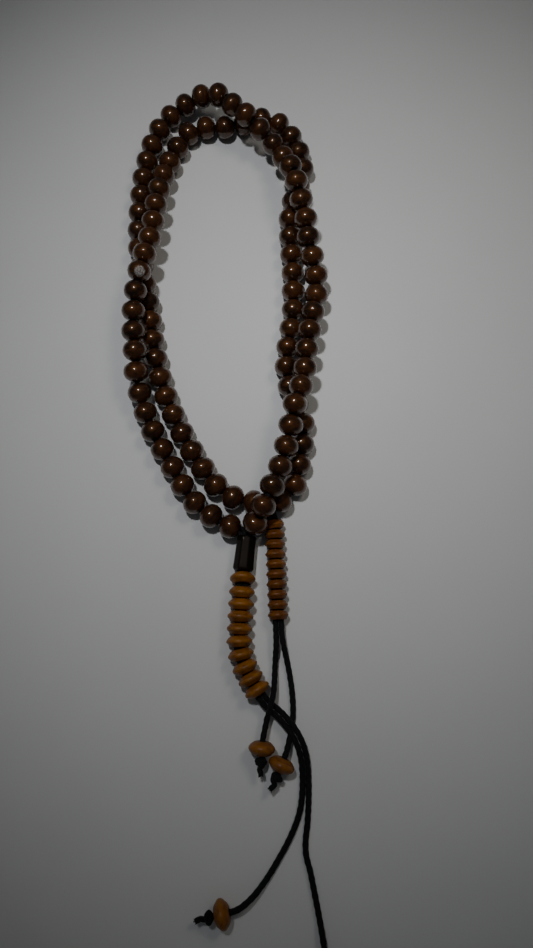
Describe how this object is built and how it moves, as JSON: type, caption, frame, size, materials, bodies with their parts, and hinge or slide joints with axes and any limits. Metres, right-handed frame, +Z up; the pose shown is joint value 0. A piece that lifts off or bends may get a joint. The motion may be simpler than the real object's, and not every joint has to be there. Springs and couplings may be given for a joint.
{
  "type": "mala prayer beads",
  "caption": "Strand of dark turned wooden beads on a cord with a guru bead, lying as a double loop, with two tails of ochre disc counters that end in knotted cords.",
  "frame": {"origin": "on the surface that the mala lies on, under the middle of the strand with its guru bead and counters", "axes": "+X across the loop to the right, +Y along the loop from the guru bead to its far end, +Z up from the surface"},
  "size_m": [0.0701, 0.2981, 0.016],
  "materials": {
    "bead_wood": "dark red-brown turned wood, glossy varnish",
    "guru_wood": "near-black turned wood, glossy varnish",
    "counter_wood": "ochre waxed wood, satin",
    "cord": "black braided cord, matt"
  },
  "bodies": {
    "strand": {"bead_run_01": "bead_wood", "bead_run_02": "bead_wood", "bead_run_03": "bead_wood", "bead_run_04": "bead_wood", "bead_run_05": "bead_wood", "bead_run_06": "bead_wood", "bead_run_07": "bead_wood", "bead_run_08": "bead_wood", "bead_run_09": "bead_wood", "bead_run_10": "bead_wood", "bead_run_11": "bead_wood", "bead_run_12": "bead_wood", "bead_run_13": "bead_wood", "bead_run_14": "bead_wood", "bead_run_15": "bead_wood", "bead_run_16": "bead_wood", "bead_run_17": "bead_wood", "bead_run_18": "bead_wood", "strand_cord": "cord", "guru_bead": "guru_wood", "tail_tie_loop": "cord", "guru_tail_cord_1": "cord", "guru_tail_knot_1": "cord", "guru_tail_cord_2": "cord", "guru_tail_knot_2": "cord", "strand_tail_cord_1": "cord", "strand_tail_knot_1": "cord", "strand_tail_cord_2": "cord", "strand_tail_knot_2": "cord"},
    "guru_tail_counter_01": {"guru_tail_counter_01": "counter_wood"},
    "guru_tail_counter_02": {"guru_tail_counter_02": "counter_wood"},
    "guru_tail_counter_03": {"guru_tail_counter_03": "counter_wood"},
    "guru_tail_counter_04": {"guru_tail_counter_04": "counter_wood"},
    "guru_tail_counter_05": {"guru_tail_counter_05": "counter_wood"},
    "guru_tail_counter_06": {"guru_tail_counter_06": "counter_wood"},
    "guru_tail_counter_07": {"guru_tail_counter_07": "counter_wood"},
    "guru_tail_counter_08": {"guru_tail_counter_08": "counter_wood"},
    "guru_tail_counter_09": {"guru_tail_counter_09": "counter_wood"},
    "guru_tail_counter_10": {"guru_tail_counter_10": "counter_wood"},
    "guru_tail_end_disc_1": {"guru_tail_end_disc_1": "counter_wood"},
    "guru_tail_end_disc_2": {"guru_tail_end_disc_2": "counter_wood"},
    "strand_tail_counter_01": {"strand_tail_counter_01": "counter_wood"},
    "strand_tail_counter_02": {"strand_tail_counter_02": "counter_wood"},
    "strand_tail_counter_03": {"strand_tail_counter_03": "counter_wood"},
    "strand_tail_counter_04": {"strand_tail_counter_04": "counter_wood"},
    "strand_tail_counter_05": {"strand_tail_counter_05": "counter_wood"},
    "strand_tail_counter_06": {"strand_tail_counter_06": "counter_wood"},
    "strand_tail_counter_07": {"strand_tail_counter_07": "counter_wood"},
    "strand_tail_counter_08": {"strand_tail_counter_08": "counter_wood"},
    "strand_tail_counter_09": {"strand_tail_counter_09": "counter_wood"},
    "strand_tail_counter_10": {"strand_tail_counter_10": "counter_wood"},
    "strand_tail_end_disc_1": {"strand_tail_end_disc_1": "counter_wood"},
    "strand_tail_end_disc_2": {"strand_tail_end_disc_2": "counter_wood"}
  },
  "joints": [
    {"name": "guru_tail_counter_01_slide", "type": "slide", "parent": "strand", "child": "guru_tail_counter_01", "axis": [-0.0233, -0.9749, 0.2214], "range_m": [0, 0.0012]},
    {"name": "guru_tail_counter_02_slide", "type": "slide", "parent": "strand", "child": "guru_tail_counter_02", "axis": [-0.0574, -0.9974, -0.0437], "range_m": [0, 0.0012]},
    {"name": "guru_tail_counter_03_slide", "type": "slide", "parent": "strand", "child": "guru_tail_counter_03", "axis": [-0.0565, -0.9984, -0.0043], "range_m": [0, 0.0012]},
    {"name": "guru_tail_counter_04_slide", "type": "slide", "parent": "strand", "child": "guru_tail_counter_04", "axis": [-0.0509, -0.9987, 0.0023], "range_m": [0, 0.0012]},
    {"name": "guru_tail_counter_05_slide", "type": "slide", "parent": "strand", "child": "guru_tail_counter_05", "axis": [-0.047, -0.9989, 0], "range_m": [0, 0.0012]},
    {"name": "guru_tail_counter_06_slide", "type": "slide", "parent": "strand", "child": "guru_tail_counter_06", "axis": [0.0296, -0.9996, 0], "range_m": [0, 0.0012]},
    {"name": "guru_tail_counter_07_slide", "type": "slide", "parent": "strand", "child": "guru_tail_counter_07", "axis": [0.2385, -0.9711, 0], "range_m": [0, 0.0012]},
    {"name": "guru_tail_counter_08_slide", "type": "slide", "parent": "strand", "child": "guru_tail_counter_08", "axis": [0.4055, -0.9141, 0], "range_m": [0, 0.0012]},
    {"name": "guru_tail_counter_09_slide", "type": "slide", "parent": "strand", "child": "guru_tail_counter_09", "axis": [0.4888, -0.8724, 0], "range_m": [0, 0.0012]},
    {"name": "guru_tail_counter_10_slide", "type": "slide", "parent": "strand", "child": "guru_tail_counter_10", "axis": [0.526, -0.8505, 0.0052], "range_m": [0, 0.0012]},
    {"name": "guru_tail_end_disc_1_slide", "type": "slide", "parent": "strand", "child": "guru_tail_end_disc_1", "axis": [0.9739, 0.2268, 0], "range_m": [0, 0.002]},
    {"name": "guru_tail_end_disc_2_slide", "type": "slide", "parent": "strand", "child": "guru_tail_end_disc_2", "axis": [-0.0693, 0.9976, 0], "range_m": [0, 0.002]},
    {"name": "strand_tail_counter_01_slide", "type": "slide", "parent": "strand", "child": "strand_tail_counter_01", "axis": [0.1298, -0.9915, 0], "range_m": [0, 0.0032]},
    {"name": "strand_tail_counter_02_slide", "type": "slide", "parent": "strand", "child": "strand_tail_counter_02", "axis": [0.0488, -0.9988, 0], "range_m": [0, 0.0032]},
    {"name": "strand_tail_counter_03_slide", "type": "slide", "parent": "strand", "child": "strand_tail_counter_03", "axis": [0.0305, -0.9995, 0], "range_m": [0, 0.0032]},
    {"name": "strand_tail_counter_04_slide", "type": "slide", "parent": "strand", "child": "strand_tail_counter_04", "axis": [0.0408, -0.9992, 0], "range_m": [0, 0.0032]},
    {"name": "strand_tail_counter_05_slide", "type": "slide", "parent": "strand", "child": "strand_tail_counter_05", "axis": [0.0386, -0.9993, 0], "range_m": [0, 0.0032]},
    {"name": "strand_tail_counter_06_slide", "type": "slide", "parent": "strand", "child": "strand_tail_counter_06", "axis": [0.038, -0.9993, 0], "range_m": [0, 0.0032]},
    {"name": "strand_tail_counter_07_slide", "type": "slide", "parent": "strand", "child": "strand_tail_counter_07", "axis": [0.0397, -0.9992, 0], "range_m": [0, 0.0032]},
    {"name": "strand_tail_counter_08_slide", "type": "slide", "parent": "strand", "child": "strand_tail_counter_08", "axis": [0.0401, -0.9992, 0], "range_m": [0, 0.0032]},
    {"name": "strand_tail_counter_09_slide", "type": "slide", "parent": "strand", "child": "strand_tail_counter_09", "axis": [0.0394, -0.9992, 0], "range_m": [0, 0.0032]},
    {"name": "strand_tail_counter_10_slide", "type": "slide", "parent": "strand", "child": "strand_tail_counter_10", "axis": [0.0405, -0.9992, 0], "range_m": [0, 0.0032]},
    {"name": "strand_tail_end_disc_1_slide", "type": "slide", "parent": "strand", "child": "strand_tail_end_disc_1", "axis": [0.0858, 0.9963, 0], "range_m": [0, 0.002]},
    {"name": "strand_tail_end_disc_2_slide", "type": "slide", "parent": "strand", "child": "strand_tail_end_disc_2", "axis": [0.4057, 0.914, 0], "range_m": [0, 0.0006]}
  ],
  "couplings": [
    {"joint": "guru_tail_counter_02_slide", "follows": "guru_tail_counter_01_slide", "ratio": 1},
    {"joint": "guru_tail_counter_03_slide", "follows": "guru_tail_counter_01_slide", "ratio": 1},
    {"joint": "guru_tail_counter_04_slide", "follows": "guru_tail_counter_01_slide", "ratio": 1},
    {"joint": "guru_tail_counter_05_slide", "follows": "guru_tail_counter_01_slide", "ratio": 1},
    {"joint": "guru_tail_counter_06_slide", "follows": "guru_tail_counter_01_slide", "ratio": 1},
    {"joint": "guru_tail_counter_07_slide", "follows": "guru_tail_counter_01_slide", "ratio": 1},
    {"joint": "guru_tail_counter_08_slide", "follows": "guru_tail_counter_01_slide", "ratio": 1},
    {"joint": "guru_tail_counter_09_slide", "follows": "guru_tail_counter_01_slide", "ratio": 1},
    {"joint": "guru_tail_counter_10_slide", "follows": "guru_tail_counter_01_slide", "ratio": 1},
    {"joint": "strand_tail_counter_02_slide", "follows": "strand_tail_counter_01_slide", "ratio": 1},
    {"joint": "strand_tail_counter_03_slide", "follows": "strand_tail_counter_01_slide", "ratio": 1},
    {"joint": "strand_tail_counter_04_slide", "follows": "strand_tail_counter_01_slide", "ratio": 1},
    {"joint": "strand_tail_counter_05_slide", "follows": "strand_tail_counter_01_slide", "ratio": 1},
    {"joint": "strand_tail_counter_06_slide", "follows": "strand_tail_counter_01_slide", "ratio": 1},
    {"joint": "strand_tail_counter_07_slide", "follows": "strand_tail_counter_01_slide", "ratio": 1},
    {"joint": "strand_tail_counter_08_slide", "follows": "strand_tail_counter_01_slide", "ratio": 1},
    {"joint": "strand_tail_counter_09_slide", "follows": "strand_tail_counter_01_slide", "ratio": 1},
    {"joint": "strand_tail_counter_10_slide", "follows": "strand_tail_counter_01_slide", "ratio": 1}
  ]
}
